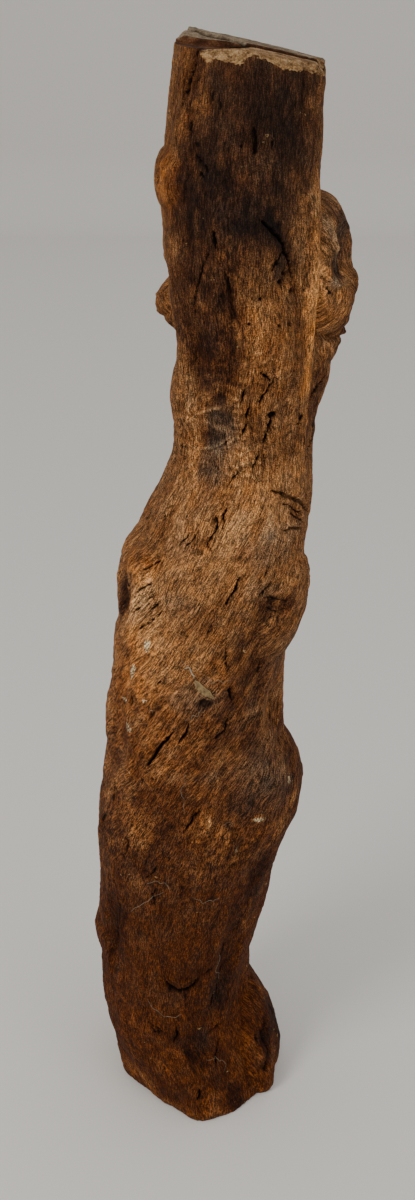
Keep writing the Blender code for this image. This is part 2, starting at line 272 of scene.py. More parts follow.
# 1 on a path and 0 from half its width away; the width tapers towards both ends. The path is a chain of
# straight runs on the unrolled surface, ragged by an edge noise.
def strokeCloseness(angles, heights, arc, path, width, ragged, wander):
    first = path[0, 0]
    x = np.radians(turnFrom(first, angles)) * arc + wander
    px, py = np.radians(turnFrom(first, path[:, 0])) * float(np.mean(arc)), path[:, 1]
    runs = np.hypot(np.diff(px), np.diff(py))
    reached = np.concatenate([[0.0], np.cumsum(runs)])
    closeness = np.zeros(angles.shape)
    for k, run in enumerate(runs):
        dx, dy = (px[k + 1] - px[k]) / run, (py[k + 1] - py[k]) / run
        t = np.clip((x - px[k]) * dx + (heights - py[k]) * dy, 0.0, run)
        distance = np.hypot(x - px[k] - t * dx, heights - py[k] - t * dy) + ragged
        share = (reached[k] + t) / reached[-1]
        half = width / 2 * np.clip(4.6 * share * (1.0 - share), 0.16, 1.0) ** 0.45
        closeness = np.maximum(closeness, 1.0 - np.clip(distance / half, 0.0, 1.0))
    return closeness


def randomChecks(amount, seed):
    rng = np.random.default_rng(seed)
    found = []
    while len(found) < amount:
        angle, height = rng.uniform(-180, 180), rng.uniform(15, 1330)
        length, width = rng.uniform(8, 38), rng.uniform(1.6, 3.6)
        slope = math.degrees(fibreTwist(np.array(height + 1.0)) - fibreTwist(np.array(height - 1.0))) / 2.0
        bend = rng.uniform(-0.03, 0.03)
        onFront = -165 < angle < -15
        if onFront and rng.uniform() < 0.45:
            continue
        if onFront:
            length, width = length * 0.55, width * 0.7
        lean = slope + bend
        path = [(angle, height), (angle + lean * length * 0.5 + rng.uniform(-1, 1), height + length * 0.5),
                (angle + lean * length, height + length)]
        found += strokes(width, width * rng.uniform(0.5, 1.2), [path])
    return found


# Knots, each with rings of raised grain round it: angle, height, half width, half height, ring height, rings.
trunkKnots = readRows("""
-87 492 15 30 1.3 2, -88 938 20 20 1.2 2.5, -76 1168 26 34 .8 1.5, -150 812 16 16 1 2, -44 768 18 16 1.2 2,
-40 560 26 34 .9 2, -104 146 22 16 1 2, -58 1238 14 20 .8 1.5, -112 300 24 36 .8 1.5, -12 780 20 26 1 2,
-160 1230 18 26 .9 1.5, 80 730 34 50 1.4 2.5, 115 1010 24 34 1.2 2, 135 330 28 40 1.2 2, 40 520 26 36 1.1 2,
60 1200 22 30 1 2, 178 640 20 30 1 2, 10 90 30 40 1 1.5
""")

# The forms of the branch lobe and the front's folds: angle, height, half angle, half height, reach, sharpness.
trunkFolds = readRows("""
-9 1137 13 19 -7 1, 7 1113 10 14 4.5 .8, -14 1104 8 16 2 1, -9 1176 7 22 -2.5 1, 3 1180 6 34 2.5 1,
-17 1130 3.5 60 -3 .8, 8 1160 5 30 2 1, -3 1078 9 20 3 1, 6 1052 7 24 2.5 1, -62 1155 8 22 -2 1,
-84 1196 16 10 1.6 1, -112 1060 7 80 1.6 1, -130 1020 5 90 -1.8 1, -52 908 18 9 .8 1, -88 946 17 26 2 1,
-140 842 12 20 1.8 1, -168 770 8 24 -4 1, -122 690 20 60 1.6 1, -136 600 7 90 2 1, -50 660 10 30 -2.2 1,
-64 610 12 30 2.2 1, -30 575 9 34 2.6 1, -70 420 12 50 1.8 1, -42 400 9 60 -2.4 1, -112 230 20 50 1.8 1,
-68 110 10 60 2.4 1, -84 250 12 60 1.6 1, -126 150 14 40 -2 1, -30 60 9 60 2.6 1, -28 0 15 46 5 1, -6 0 20 40 -7 1,
6 1000 26 66 5 1, 8 1052 26 10 5.2 .9, 10 1042 26 17 7 .8, 185 895 34 50 -2 1, 188 752 22 24 -3.5 1,
186 690 22 26 2.5 1, 188 812 16 16 3 .8, -8 416 30 46 -8 1, -136 684 5 17 2.6 .7, 170 1120 22 20 -10 .8,
171 1080 20 17 6 .8, 185 1350 40 60 3 1, -135 20 30 60 -2.5 1, 11 1195 12 15 3.5 1, 4 1094 16 18 6.5 1,
7 1120 10 16 2.5 1, 6 1076 18 13 3.8 1, 8 1010 24 40 1.5 1, -4 942 20 34 2.8 1, 186 1127 22 17 -3.5 1,
178 1074 20 11 4 1, 182 1040 26 24 -3 1, 10 124 18 42 -6 1, 0 60 20 50 -3 1, -82 498 8 16 3 1, -50 490 6 8 2 1,
-104 984 10 12 -1.6 1, -114 962 12 10 -1.8 1, -118 928 12 14 -1.4 1
""")


# Folds are half ellipsoids, as burls; knots are ring waves that die away from their middles.
def foldsAndKnots(angles, heights, arc):
    total = np.zeros(angles.shape)
    for angle, height, spread, rise, reach, sharpness in trunkFolds:
        inside = np.clip(1.0 - (turnFrom(angle, angles) / spread) ** 2 - ((heights - height) / rise) ** 2, 0.0, 1.0)
        total = total + reach * inside**sharpness
    for angle, height, halfWidth, halfHeight, ringHeight, rings in trunkKnots:
        away = np.hypot(np.radians(turnFrom(angle, angles)) * arc / halfWidth, (heights - height) / halfHeight)
        total = total + ringHeight * np.cos(math.tau * rings * away**0.8) * np.exp(-2.2 * away**2)
    return total


# All of the fine relief in mm, the depth of checks and pits cut in it, the painted shade inside them and how much
# darker the wood is round them, and the relief without its broad folds: strands and fibres along the grain, lumps,
# wrinkles across it.
def fineRelief(angles, heights, arc):
    level, winding = partial(latticeNoise, angles, heights, lean=False), partial(latticeNoise, angles, heights)
    swaying = partial(latticeNoise, angles + grainSway(angles, heights), heights)
    strands, thinStrands = 1.0 - 2.0 * np.abs(swaying(44, 13, 11)), 1.0 - 2.0 * np.abs(swaying(92, 26, 12))
    relief = 0.55 * strands + 0.4 * thinStrands + 0.4 * swaying(150, 50, 13) + 0.3 * swaying(210, 110, 14)
    relief += 0.55 * level(74, 150, 17) + 0.45 * level(140, 300, 18)
    rippled = smoothStep(1.25 - np.hypot(turnFrom(-100, angles) / 30.0, (heights - 975.0) / 90.0))
    bent = heights + 7.0 * level(30, 36, 19) + 0.16 * turnFrom(-90, angles)
    wrinkles = 1.3 * np.sin(math.tau * bent / 9.5)
    relief += wrinkles * rippled * (0.5 + 0.5 * level(60, 70, 20))
    folds = foldsAndKnots(angles, heights, arc) - 1.1
    folds += 0.9 * level(14, 24, 15) + 0.9 * level(34, 68, 16)
    edge = 0.5 * winding(300, 420, 21) + 0.35 * winding(480, 800, 22)
    wander = 1.6 * winding(70, 150, 23) + 0.9 * winding(170, 360, 24) + 0.6 * winding(330, 700, 25)
    hollow, darkerRoundCuts, depth = np.zeros((3, *angles.shape))
    margin = 8.0  # mm or degrees looked at round a stroke
    besideWidth = 2.6  # the worn wood beside a stroke, in its widths
    for stroke in trunkRidges + trunkChecks + randomChecks(330, 31):
        path, width, deepest = stroke["path"], stroke["width"], stroke["depth"]
        middle = path[:, 0].mean()
        reach = np.abs(turnFrom(middle, path[:, 0])).max() + margin
        within = (heights > path[:, 1].min() - margin) & (heights < path[:, 1].max() + margin)
        near = np.nonzero(within & (np.abs(turnFrom(middle, angles)) < reach))
        if near[0].size == 0:
            continue
        place = (angles[near], heights[near], arc[near], path)
        strays = wander[near] * min(1.0, 5.0 / abs(deepest))  # deep checks run straighter
        close = strokeCloseness(*place, width, edge[near], strays)
        beside = strokeCloseness(*place, besideWidth * width, edge[near], strays)
        cut = deepest * (smoothStep(close * 1.5) - (0.16 if deepest > 0 else 0.35) * smoothStep(beside))
        depth[near] = np.where(np.abs(cut) > np.abs(depth[near]), cut, depth[near])
        strength = min(1.0, max(0.0, 0.95 * deepest / width))
        # Painted shade inside the check, near-black at its core.
        hollow[near] = np.maximum(hollow[near], smoothStep(close * 3.4) * strength)
        # The wood round the check is made darker, by the check's strength.
        darkerRoundCuts[near] = np.maximum(darkerRoundCuts[near], beside * strength)
    for angle, height, halfWidth, halfHeight, pitDepth in trunkPits:
        x = np.radians(turnFrom(angle, angles)) * arc / halfWidth
        away = np.hypot(x, (heights - height) / halfHeight) - 0.25 * edge
        close = np.clip(1.15 - away, 0.0, 1.0)
        depth = np.where(close > 0.0, np.maximum(depth, pitDepth * smoothStep(close * 1.4)), depth)
        # Painted shade inside the pit.
        hollow = np.maximum(hollow, smoothStep(close * 1.7) * min(1.0, 0.3 + pitDepth / 8.0))
        # The wood round the pit is made darker.
        darkerRoundCuts = np.maximum(darkerRoundCuts, np.clip(1.6 - away, 0.0, 1.0))
    return relief + folds, depth, hollow, darkerRoundCuts, relief - 0.7 * np.minimum(depth, 0.0)


# The sawn and split top: a slanting plane with a ledge in front of the main split, and thin splits behind.

topSplits = {
    "ledge": {"left": (-60, 22), "right": (140, 2), "step": 2.4, "drop": 8.6, "endsAt": 0.56, "gap": 5.0},
    "wornBehind": 3.6,  # mm off the wood behind the ledge, at the left
    "wornCorner": 4.5,
    # each with the step down in front of it, the depth and half width of its gap in mm, and where it ends
    "behind": (
        {"left": (-40, 66), "right": (120, -34), "step": 2.6, "gap": 4.0, "halfWidth": 1.3, "endsAt": 0.62},
        {"left": (0, 74), "right": (140, 44), "step": -1.2, "gap": 2.5, "halfWidth": 1.0, "endsAt": 2.0},
    ),
}


# Random values on a lattice in the plan, with cells of a size in mm.
def planNoise(across, back, size, seed):
    lattice = np.random.default_rng(seed).uniform(-1.0, 1.0, (130, 130))
    return blendLattice(lattice, (across + 200.0) / size % 128.0, (back + 200.0) / size % 128.0)


# Roughness of the top in the plan, drawn out along the saw's path from left to right.
def topRoughness(across, back):
    drawnOut = planNoise(across * 0.25, back, 3.2, 41)
    return 0.6 * drawnOut + 0.5 * planNoise(across, back, 7.0, 42) + 0.3 * planNoise(across, back, 2.6, 43)


# The corner of the top that stays at full height when the saw's plane falls to the right and the front.
def highestCorner():
    angles = np.arange(0.0, 360.0, 1.0)
    heights = np.full(angles.shape, trunkForm["tallest"])
    across, back = placeOn(angles, heights, solidRadius(angles, heights))
    rise = trunkForm["topFallToFront"] * back - trunkForm["topFallToRight"] * across
    return across[np.argmax(rise)], back[np.argmax(rise)]


# How far behind a split's wandering line a place is, and its share of the way from left to right.
def behindSplit(split, across, back):
    (x0, y0), (x1, y1) = split["left"], split["right"]
    length = math.hypot(x1 - x0, y1 - y0)
    ux, uy = (x1 - x0) / length, (y1 - y0) / length
    behind = (back - y0) * ux - (across - x0) * uy
    along = ((across - x0) * ux + (back - y0) * uy) / length
    wander = 2.2 * planNoise(across, back * 0.2, 17.0, 45) + 0.8 * planNoise(across, back * 0.2, 6.0, 46)
    return behind + wander, along


# Height of the top above each place of the plan: the saw's plane, less the ledge, less the split gaps.
def topHeight(across, back):
    cornerX, cornerY = highestCorner()
    top = trunkForm["tallest"] - trunkForm["topFallToRight"] * (across - cornerX)
    top = top - trunkForm["topFallToFront"] * (cornerY - back)
    ledge = topSplits["ledge"]
    behind, along = behindSplit(ledge, across, back)
    drop = ledge["step"] + ledge["drop"] * np.clip((ledge["endsAt"] - along) / 0.34, 0.0, 1.0) ** 0.8
    front = smoothStep((1.0 - behind) / 1.6)
    face = smoothStep(2.5 - np.abs(behind - 0.2))
    gap = ledge["gap"] * smoothStep(1.6 - np.abs(behind + 0.4) / 1.2) * smoothStep((along - 0.36) * 6.0)
    worn = topSplits["wornBehind"] * smoothStep(1.0 - (behind - 1.0) / 26.0) * smoothStep((0.46 - along) / 0.2)
    worn = worn + topSplits["wornCorner"] * smoothStep(1.0 - (across + 23.0) / 9.0)
    top = top - drop * front - worn * (1.0 - front)
    for split in topSplits["behind"]:
        behind, along = behindSplit(split, across, back)
        lasts = smoothStep((split["endsAt"] - along) * 8.0)
        top = top - split["step"] * smoothStep((0.8 - behind) / 1.6) * lasts
        gap = np.maximum(gap, split["gap"] * smoothStep(1.5 - np.abs(behind) / split["halfWidth"]) * lasts)
    return top - gap + 0.55 * topRoughness(across, back), front, gap, face


# The trunk's visual surface, as one closed grid: foot middle, foot edge, side, rim, then in over the top.

trunkMesh = {
    "columns": 330,
    "rowStep": 1.6,  # mm
    "frontDensity": 22.0,  # degrees moved from the front to the back
    "fixedRowsUpTo": 1290.0,  # above it the upper rows follow the slanting rim
    "upperRows": 37,
    "topRings": 88,
    "topReach": 72.0,  # mm from the rim to the top's middle
    "rimBevel": 10.5,  # mm, the broken front edge of the top
    "triangles": 195000,
}


# The surface's radius in mm with all its relief, and the painted shade of its checks, 1 deep inside a check.
def carvedRadius(angles, heights):
    solid = solidRadius(angles, heights)
    relief, depth, hollow, _, _ = fineRelief(angles, heights, solid)
    wornFoot = 2.5 * np.exp(-heights / 3.0)
    return solid + relief - depth - wornFoot, hollow


# How broken the rim is at each angle: along the front from the main check to the right corner, least at its
# middle.
def brokenRim(angles):
    kept = 1.0 - 0.45 * smoothStep(1.3 - np.abs(turnFrom(-83, angles)) / 13.0)
    return kept * smoothStep((68.0 - np.abs(turnFrom(-64, angles))) / 5.0)


# Height of the rim at each angle, lower and chipped where it is broken.
def rimHeight(angles):
    near = np.full(angles.shape, 1345.0)
    rim = topHeight(*placeOn(angles, near, solidRadius(angles, near)))[0]
    chipped = 0.55 + 0.3 * latticeNoise(angles, rim, 34, 8, 44) + 0.25 * latticeNoise(angles, rim, 110, 8, 47)
    return rim - trunkMesh["rimBevel"] * brokenRim(angles) * chipped


# The whole grid in mm, the vertices whose detail is kept, its two poles and the rows of its foot and side.
def trunkGrid(mesh):
    u = np.arange(mesh["columns"]) / mesh["columns"] - 0.5
    angles = -90.0 + 360.0 * u - mesh["frontDensity"] * np.sin(math.tau * u)
    rim = rimHeight(angles)
    fixed = np.arange(0.0, mesh["fixedRowsUpTo"], mesh["rowStep"])
    upper = np.linspace(0.0, 1.0, mesh["upperRows"])
    low = np.repeat(fixed[:, None], angles.size, axis=1)
    high = mesh["fixedRowsUpTo"] + upper[:, None] * (rim - mesh["fixedRowsUpTo"])[None, :]
    heights = np.vstack([low, high])
    around = np.repeat(angles[None, :], heights.shape[0], axis=0)
    radius, hollow = carvedRadius(around, heights)
    across, back = placeOn(around, heights, radius)
    shares = 1.0 - np.linspace(0.0, 1.0, mesh["topRings"] + 1)[1:-1] ** 0.9
    middle = (across[-1].mean(), back[-1].mean())
    topAcross = middle[0] + shares[:, None] * (across[-1] - middle[0])[None, :]
    topBack = middle[1] + shares[:, None] * (back[-1] - middle[1])[None, :]
    rough = topRoughness(topAcross, topBack)
    top, _, gap, face = topHeight(topAcross, topBack)
    inwards = (1.0 - shares[:, None]) * mesh["topReach"]
    edge = np.clip(1.0 - inwards / (9.0 + 4.0 * rough), 0.0, 1.0) * brokenRim(angles)[None, :]
    chips = planNoise(topAcross, topBack, 2.4, 48) + 0.6 * planNoise(topAcross, topBack, 4.5, 49)
    top = top - mesh["rimBevel"] * edge * (0.7 + 0.5 * rough) + 1.3 * chips * smoothStep(3.0 * edge)
    footShares = np.array([0.3, 0.6, 0.85, 0.97])[:, None]
    footAcross, footBack = footShares * across[0][None, :], footShares * back[0][None, :]
    x = np.vstack([footAcross, across, topAcross])
    y = np.vstack([footBack, back, topBack])
    z = np.vstack([np.zeros(footAcross.shape), heights, top])
    keep = np.vstack([np.ones(footAcross.shape), hollow, np.maximum(gap, face)])
    poles = np.array([(0.0, 0.0, 0.0), (middle[0], middle[1], top[-1].mean())])
    return x, y, z, keep > 0.04, poles, len(footShares), heights.shape[0]


# Quads of a grid closed round its columns, with a fan to a pole at either end.
def closedGridFaces(rows, columns, lowPole, highPole):
    r, c = np.meshgrid(np.arange(rows - 1), np.arange(columns), indexing="ij")
    nextC = (c + 1) % columns
    quads = np.stack([r * columns + c, r * columns + nextC, (r + 1) * columns + nextC, (r + 1) * columns + c], -1)
    around = np.arange(columns)
    nextAround = (around + 1) % columns
    top = (rows - 1) * columns
    low = np.stack([nextAround, around, np.full(columns, lowPole)], -1)
    high = np.stack([top + around, top + nextAround, np.full(columns, highPole)], -1)
    return quads.reshape(-1, 4), low, high


def meshFrom(name, points, quads, triangles=()):
    mesh = bpy.data.meshes.new(name)
    mesh.from_pydata(np.asarray(points).tolist(), [], np.asarray(quads).tolist() + np.asarray(triangles).tolist())
    mesh.polygons.foreach_set("use_smooth", np.ones(len(mesh.polygons), bool))
    mesh.update()
    piece = bpy.data.objects.new(name, mesh)
    bpy.context.scene.collection.objects.link(piece)
    return piece


def setAttribute(mesh, name, values, kind="FLOAT"):
    layer = mesh.attributes.new(name, kind, "POINT")
    flat = np.ascontiguousarray(values, np.float32).ravel()
    layer.data.foreach_set("value" if kind == "FLOAT" else "vector", flat)


# Patches: angle, height, half angle, half height, amount. The first kind, lighter above nought and darker below it,
# is the wood's own tone together with painted shade in the lobe's hollow and on its slope, between the neck's
# wrinkles, in the shoulder's recess, along the front groove and on the toe where the key light falls, and a painted
# highlight along the lit rib.
trunkTones = {
    "toneAndPaintedShading": readRows("""
-90 250 400 330 -.2, -90 90 400 150 -.02, -86 1275 60 84 -.27, -50 1290 36 80 -.12, -100 1200 40 60 -.18,
-72 1200 26 34 -.08, -90 1130 44 60 -.06, -138 1120 24 100 -.15, -112 1140 24 60 -.14, -101 1065 7 44 -.1,
-82 1078 9 32 .1, -86 1048 10 24 .07, -112 1080 16 70 -.15, -31 1105 9 125 .26, -94 1155 22 26 -.1,
-34 1200 6 50 .12, -74 1092 18 36 .09, -107 986 8 9 -.22, -116 963 11 12 -.2, -120 928 10 14 -.16,
-109 1008 6 8 -.2, -96 954 12 26 .08, -104 1075 18 34 -.1, -122 1052 14 40 -.1, -132 940 8 60 .05,
-38 866 10 14 -.05, -46 768 12 12 -.14, -60 1040 14 40 .06, -60 1150 12 30 -.12, -108 1035 14 34 -.1,
-98 895 64 56 .11, -58 880 30 50 .08, -84 842 60 34 .085, -100 800 52 40 .1, -50 800 24 30 .06, -140 760 24 50 .18,
-134 690 20 50 .08, -90 640 60 110 .015, -58 450 10 40 .06, -110 700 36 50 .08, -50 700 30 60 -.08,
-60 620 30 60 -.06, -14 990 14 60 -.14, 4 1060 10 30 -.1, -13 1176 5 34 .2, 1 1172 9 36 -.22, -8 1137 11 15 -.34,
8 1196 14 10 .12, -14 1086 8 34 .1, 5 1092 8 26 -.08, -82 499 5 10 .16, -37 370 8 60 -.12, -50 490 5 6 .22,
2 50 34 60 -.1, -12 520 14 60 -.06, -50 255 12 110 -.1, -148 270 14 90 -.12, -164 755 10 30 -.3, -88 938 13 18 .08,
-150 1228 15 30 .1, -58 1240 14 34 .06, -96 1286 8 30 .03, -70 110 8 50 .02, -98 190 20 26 .05, -76 112 14 30 -.12,
-54 198 11 36 -.12, -38 92 6 44 .04, -28 64 10 30 -.09, -64 26 14 26 -.06, -90 840 80 90 -.015, -70 1060 40 60 -.03,
-90 640 70 70 -.03, -60 514 7 14 -.11, -126 448 14 28 -.07, -127 386 12 24 -.06, -50 684 9 16 -.08,
-60 60 8 40 -.05, -62 14 12 26 -.05, -22 68 9 26 -.16, 5 70 12 40 -.06, -120 60 40 40 -.05, -72 560 8 14 -.1,
-88 480 12 16 .05, -118 1300 10 40 .01, -134 1290 14 70 -.05, -152 1300 14 70 -.06, 60 900 60 160 .04,
120 1150 50 150 -.1, 150 640 40 120 .06, 30 600 40 160 -.05, 100 420 40 120 .07
    """),
    "rust": readRows("""
-152 1224 17 34 .8, -76 1222 6 8 .9, -98 1330 13 12 .6, -140 1310 16 60 .15, -150 804 15 22 .6, -110 640 60 90 .3,
-90 300 400 330 .4, -90 120 400 230 .95, -90 840 70 110 .22, -86 1275 60 84 .35, -80 1050 60 60 .25,
-90 950 60 50 .12, -90 480 70 70 .18, -31 1105 9 125 .6, -138 690 24 60 .4, -78 1085 18 40 .3, 8 1090 10 30 .2,
-14 1086 8 34 .3, -95 1250 12 60 .4, -128 930 16 40 .2, 170 1100 20 24 .7, -88 1230 10 40 .3, 100 700 50 90 .4,
60 1180 40 80 .3, 160 300 40 100 .3
    """),
    "ash": readRows("""
-13 1172 6 36 .5, -9 1140 11 22 .5, 1 1172 9 36 .6, -20 1121 5 7 .8, -62 1138 9 16 .5, -110 975 15 26 .8,
-116 935 12 26 .7, -92 664 16 24 .4, -38 560 18 40 .35, -68 489 5 6 .9, -86 664 12 14 .35, -58 786 12 18 .4,
-80 1260 60 110 .35, -56 838 24 30 .4, -120 850 14 40 .12, -116 776 20 16 .35, -40 520 22 36 .32, -55 555 18 30 .35,
-57 850 6 10 .4, -52 640 8 20 .4, -60 514 8 16 .15, -54 198 12 36 .3, -26 700 14 34 .25, -112 832 14 10 .15,
-78 560 8 12 .4, -96 200 14 20 .25, -70 118 10 20 .3, 70 860 40 60 .4, 130 560 30 70 .35, 40 260 30 60 .3
    """),
    "lichen": readRows("""
-136 684 4 15 1, -129 716 4 8 .8, -133 737 3 8 .6, -130 724 3 7 .6, -143 640 7 6 .8, -122 656 5 6 .8,
-118 646 5 5 .7, -136 612 6 9 .8, -30 536 4 18 .6, -81 494 4 8 .7, -50 490 5 6 1, -62 458 5 20 .55, -60 426 5 20 .5,
-24 524 4 20 .6, -20 1122 5 5 .7, -140 770 5 26 .5, 150 700 8 20 .6, 120 500 7 16 .5, 40 760 6 14 .5
    """),
}


# The sum of a kind's patches, each 1 in its middle and fading out past its edge, with a wandering outline.
def tone(name, angles, heights, wander):
    total = np.zeros(angles.shape)
    for angle, height, spread, rise, amount in trunkTones[name]:
        away = np.hypot(turnFrom(angle, angles) / spread, (heights - height) / rise) + 0.3 * wander
        total = total + amount * smoothStep(1.3 - away)
    return total


# How grainy and how contrasty the wood is, by height in mm.
trunkBands = {
    "contrast": readRows("0 .75, 330 .88, 480 1.25, 700 1.2, 830 .98, 950 1.25, 1080 1.1, 1300 .88"),
    "graininess": readRows("0 1.15, 330 1.3, 480 1.8, 650 1.85, 800 1.45, 950 1.5, 1080 1.28, 1300 .95"),
}


# The attributes that the materials read: where in the straightened grain each vertex is, and its tones.
def colourTrunk(mesh, grainRadius=0.1):
    points = np.empty(len(mesh.vertices) * 3)
    mesh.vertices.foreach_get("co", points)
    x, y, z = points.reshape(-1, 3).T / mm
    heights = np.clip(z, 0.0, trunkForm["tallest"])
    fromMiddle = x - sectionValue(1, heights), y - sectionValue(2, heights)
    angles = np.degrees(np.arctan2(*fromMiddle[::-1]))
    solid = solidRadius(angles, heights)
    _, _, hollow, darkerRoundCuts, raised = fineRelief(angles, heights, solid)
    wander = latticeNoise(angles, heights, 20, 40, 51, False) + 0.7 * latticeNoise(angles, heights, 60, 110, 52)
    turned = np.radians(angles + grainSway(angles, heights)) - fibreTwist(heights)
    grainAt = np.stack([grainRadius * np.cos(turned), grainRadius * np.sin(turned), z * mm], -1)
    setAttribute(mesh, "grainAt", grainAt, "FLOAT_VECTOR")
    _, front, gap, face = topHeight(x, y)
    atRim = np.maximum(front, smoothStep((np.hypot(*fromMiddle) / solid - 0.80) * 12.0))
    below = np.interp(angles, (-122, -104, -92, -83, -70, -58), (3.0, 4.0, 2.5, 1.0, 4.0, 8.0))  # mm
    values = {
        # painted shade inside checks and pits
        "hollow": hollow,
        "darkerRoundCuts": darkerRoundCuts,
        # relief makes raised places lighter, partly as wear and partly as painted light, and troughs darker as
        # painted shade
        "relief": np.clip(raised / 5.0 + 0.5, 0.0, 1.0),
        # split: painted shade, near-black in the gaps of the top's splits
        "split": np.clip(gap / 4.0, 0.0, 1.0),
        "frontBlock": front,
        "ledgeFace": face,
        "rawEnd": smoothStep(1.0 - (rimHeight(angles) - z) / below) * brokenRim(angles) * atRim,
    }
    for name in trunkTones:
        values[name] = tone(name, angles, heights, wander)
    for name, band in trunkBands.items():
        values[name] = np.interp(heights, *zip(*band)) * (1.0 + 0.15 * wander)
    for name, each in values.items():
        setAttribute(mesh, name, each)


def makeTrunk(mesh):
    x, y, z, keep, poles, footRows, sideRows = trunkGrid(mesh)
    rows, columns = x.shape
    points = np.vstack([np.stack([x.ravel(), y.ravel(), z.ravel()], -1), poles]) * mm
    quads, low, high = closedGridFaces(rows, columns, rows * columns, rows * columns + 1)
    piece = meshFrom("trunk_surface", points, quads, np.vstack([low, high]))
    sawn = np.zeros(len(piece.data.polygons), np.int32)
    sawn[:footRows * columns] = 1
    sawn[(footRows + sideRows - 1) * columns:] = 1
    piece.data.materials.append(weatheredWood)
    piece.data.materials.append(sawnWood)
    piece.data.polygons.foreach_set("material_index", sawn)
    plain = piece.vertex_groups.new(name="plain")  # the vertices that may be thinned
    plain.add(np.flatnonzero(~keep.ravel()).tolist(), 1.0, "REPLACE")
    thin = piece.modifiers.new("thin", "DECIMATE")
    thin.ratio = mesh["triangles"] / (2 * len(quads) + 2 * columns)
    thin.vertex_group = plain.name
    thinned = bpy.data.meshes.new_from_object(piece.evaluated_get(bpy.context.evaluated_depsgraph_get()))
    piece.modifiers.clear()
    old = piece.data
    piece.data = thinned
    flat = np.empty(len(thinned.vertices) * 3)
    thinned.vertices.foreach_get("co", flat)
    flat[2::3] = np.maximum(flat[2::3], 0.0)
    thinned.vertices.foreach_set("co", flat)
    bpy.data.meshes.remove(old)
    piece.vertex_groups.clear()
    thinned.name = "trunk_surface"
    print("trunk thinned from", len(quads) * 2, "to", len(thinned.polygons), "triangles")
    colourTrunk(thinned)
    return piece


# Materials. A signal is what a node gives out; signals are added, multiplied and mixed as numbers are.

class Signal:
    def __init__(self, tree, kind, inputs, output=0, **settings):
        self.tree, self.node = tree, tree.nodes.new(kind)
        for name, value in settings.items():
            setattr(self.node, name, value)
        for socket, value in inputs.items():
            if isinstance(value, Signal):
                tree.links.new(value.socket, self.node.inputs[socket])
            else:
                self.node.inputs[socket].default_value = value
        if self.node.outputs:
            self.socket = self.node.outputs[output]

    def math(self, operation, other):
        return Signal(self.tree, "ShaderNodeMath", {0: self, 1: other}, operation=operation)

    def __add__(self, other):
        return self.math("ADD", other)

    def __sub__(self, other):
        return self.math("SUBTRACT", other)

    def __mul__(self, other):
        return self.math("MULTIPLY", other)

    def __rpow__(self, base):
        return Signal(self.tree, "ShaderNodeMath", {0: base, 1: self}, operation="POWER")

    # From 0 at the first value to the top at the second.
    def between(self, first, second, top=1.0):
        return Signal(self.tree, "ShaderNodeMapRange", {0: self, 1: first, 2: second, 3: 0.0, 4: top})

    def noise(self, scale, detail, roughness, stretch=(1, 1, 1)):
        moved = Signal(self.tree, "ShaderNodeMapping", {"Vector": self, "Scale": stretch})
        inputs = {"Vector": moved, "Scale": scale, "Detail": detail, "Roughness": roughness}
        return Signal(self.tree, "ShaderNodeTexNoise", inputs)

    # A colour from rows of a position and its red, green and blue.
    def ramp(self, stops):
        made = Signal(self.tree, "ShaderNodeValToRGB", {0: self})
        bands = made.node.color_ramp.elements
        for band, (position, *colour) in zip(tuple(bands), (stops[0], stops[-1])):
            band.position, band.color = position, (*colour, 1.0)
        for position, *colour in stops[1:-1]:
            bands.new(position).color = (*colour, 1.0)
        return made

    # Another signal or colour laid over this one.
    def under(self, other, factor, blend="MIX"):
        inputs = {0: factor, 6: self, 7: other if isinstance(other, Signal) else (*other, 1.0)}
        return Signal(self.tree, "ShaderNodeMix", inputs, 2, data_type="RGBA", blend_type=blend)


def attribute(tree, name, output="Fac"):
    return Signal(tree, "ShaderNodeAttribute", {}, output, attribute_name=name)


def objectPlace(tree):
    return Signal(tree, "ShaderNodeTexCoord", {}, "Object")


# A material from its look: colour, roughness, and its bump's height, strength and depth in metres.
def makeMaterial(name, look, colours, specular):
    material = bpy.data.materials.new(name)
    material.use_nodes = True
    tree = material.node_tree
    tree.nodes.clear()
    colour, roughness, bump = look(tree, colours)
    inputs = {"Base Color": colour, "Roughness": roughness, "Specular IOR Level": specular}
    if bump:
        inputs["Normal"] = Signal(tree, "ShaderNodeBump", dict(zip(("Height", "Strength", "Distance"), bump)))
    Signal(tree, "ShaderNodeOutputMaterial", {"Surface": Signal(tree, "ShaderNodeBsdfPrincipled", inputs)})
    return material


woodColours = {
    # brightness of the wood from the bottom of a groove to a bare ridge, its own tone with painted shade at the low
    # end and painted light at the high end: level, red, green, blue
    "ramp": readRows("""
0 .008 .004 .003, .24 .03 .0105 .0042, .42 .087 .0335 .0125, .56 .182 .079 .028, .72 .325 .16 .063,
.88 .49 .275 .125, 1 .64 .43 .23
    """),
    "rustTint": (1.2, 0.82, 0.36),
    "ashRamp": readRows(".1 .016 .013 .011, .5 .1 .063 .038, .9 .37 .262 .165"),
    "rawRamp": readRows(".2 .06 .026 .01, .45 .24 .118 .044, .75 .56 .335 .145"),
    "lichen": (0.76, 0.58, 0.34),
    "dust": (1.75, 1.65, 1.5),
    "pore": (0.44, 0.42, 0.42),
    # near-black of the painted shade in checks and pits, and of the pores
    "hollow": (0.007, 0.004, 0.003),
    "roughness": (0.66, 0.92),
}


